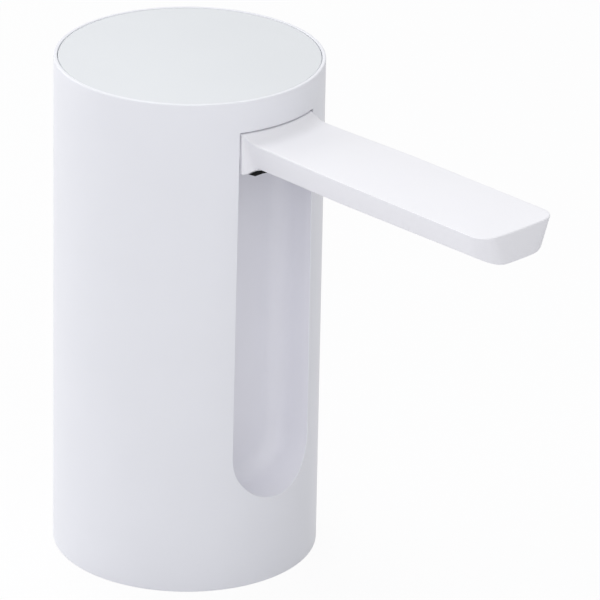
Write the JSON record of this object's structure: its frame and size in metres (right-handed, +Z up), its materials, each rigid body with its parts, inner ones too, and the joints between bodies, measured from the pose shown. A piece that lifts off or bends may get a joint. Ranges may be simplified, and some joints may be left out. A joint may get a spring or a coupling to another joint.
{
  "type": "electric water jug pump",
  "caption": "Round battery pump that sits on a water jug's neck, with a flat spout that folds down into a recess in its front and a press key for a lid.",
  "frame": {"origin": "centre of the neck socket's mouth, on the plane the body stands on", "axes": "+X the way the level spout points, +Z up, +Y across the spout"},
  "size_m": [0.1629, 0.074, 0.1445],
  "materials": {
    "body_abs": "satin moulded white ABS",
    "key_abs": "fine satin moulded ABS",
    "arm_abs": "satin moulded white ABS",
    "black_rubber": "matt moulded rubber",
    "black_nylon": "moulded nylon",
    "steel": "bright drawn steel",
    "silicone": "translucent extruded silicone",
    "ivory_acetal": "moulded acetal",
    "sintered_bronze": "sintered bronze",
    "ferrite": "pressed ferrite",
    "armature_iron": "laminations with copper winding",
    "cell_wrap": "shrink-wrapped steel can with light filling",
    "circuit_board": "solder mask on glass laminate",
    "lead_insulation": "extruded insulation",
    "clear_acrylic": "clear moulded acrylic"
  },
  "bodies": {
    "body": {"outer_shell": "body_abs", "recess_liner": "body_abs", "hinge_pins": "steel", "hinge_hose": "silicone", "wall_fitting": "ivory_acetal", "delivery_tube": "silicone", "base_cup": "body_abs", "foot_ring": "black_rubber", "neck_seal": "silicone", "suction_spigot": "ivory_acetal", "inlet_seal": "black_rubber", "spigot_nut": "ivory_acetal", "chassis": "ivory_acetal", "deck_screws": "steel", "small_screws": "steel", "pump_body": "ivory_acetal", "pump_cover": "ivory_acetal", "pump_gasket": "black_rubber", "shaft_seal": "black_rubber", "idler_pin": "steel", "pump_screws": "steel", "motor_can": "steel", "motor_magnets": "ferrite", "motor_bushes": "sintered_bronze", "motor_end_cap": "black_nylon", "motor_terminals": "sintered_bronze", "motor_screws": "steel", "motor_leads": "lead_insulation", "battery_cell": "cell_wrap", "cell_cradle": "ivory_acetal", "cell_contacts": "steel", "battery_leads": "lead_insulation", "charge_board": "circuit_board", "usb_socket": "steel", "status_led": "clear_acrylic", "light_pipe": "clear_acrylic", "charge_leads": "lead_insulation", "main_board": "circuit_board", "board_parts": "black_nylon", "tact_switch": "black_nylon", "return_pads": "silicone"},
    "spout": {"arm_shell": "arm_abs", "arm_cover": "arm_abs", "heel_bumper": "black_rubber", "outlet_nozzle": "ivory_acetal", "flow_straightener": "ivory_acetal", "arm_tube": "silicone", "hose_joiner": "ivory_acetal", "friction_washers": "black_nylon"},
    "top_key": {"top_key": "key_abs"},
    "rotor": {"motor_shaft": "steel", "armature": "armature_iron", "drive_gear": "ivory_acetal"},
    "idler": {"idler_gear": "ivory_acetal"}
  },
  "joints": [
    {"name": "spout_fold", "type": "hinge", "parent": "body", "child": "spout", "pos_m": [0.0288, 0, 0.1288], "axis": [0, 1, 0], "range_deg": [0, 90], "deforming": ["hinge_hose"]},
    {"name": "top_key_press", "type": "slide", "parent": "body", "child": "top_key", "axis": [0, 0, -1], "range_m": [0, 0.0007], "stiffness_N_per_m": 1500, "springref_m": -0.0015, "deforming": ["return_pads"]},
    {"name": "rotor_spin", "type": "hinge", "parent": "body", "child": "rotor", "pos_m": [-0.009, -0.0054, 0.07], "axis": [0, 0, 1], "continuous": true},
    {"name": "idler_spin", "type": "hinge", "parent": "body", "child": "idler", "pos_m": [-0.009, 0.0054, 0.048], "axis": [0, 0, 1], "continuous": true}
  ],
  "couplings": [
    {"joint": "idler_spin", "follows": "rotor_spin", "ratio": -1}
  ]
}
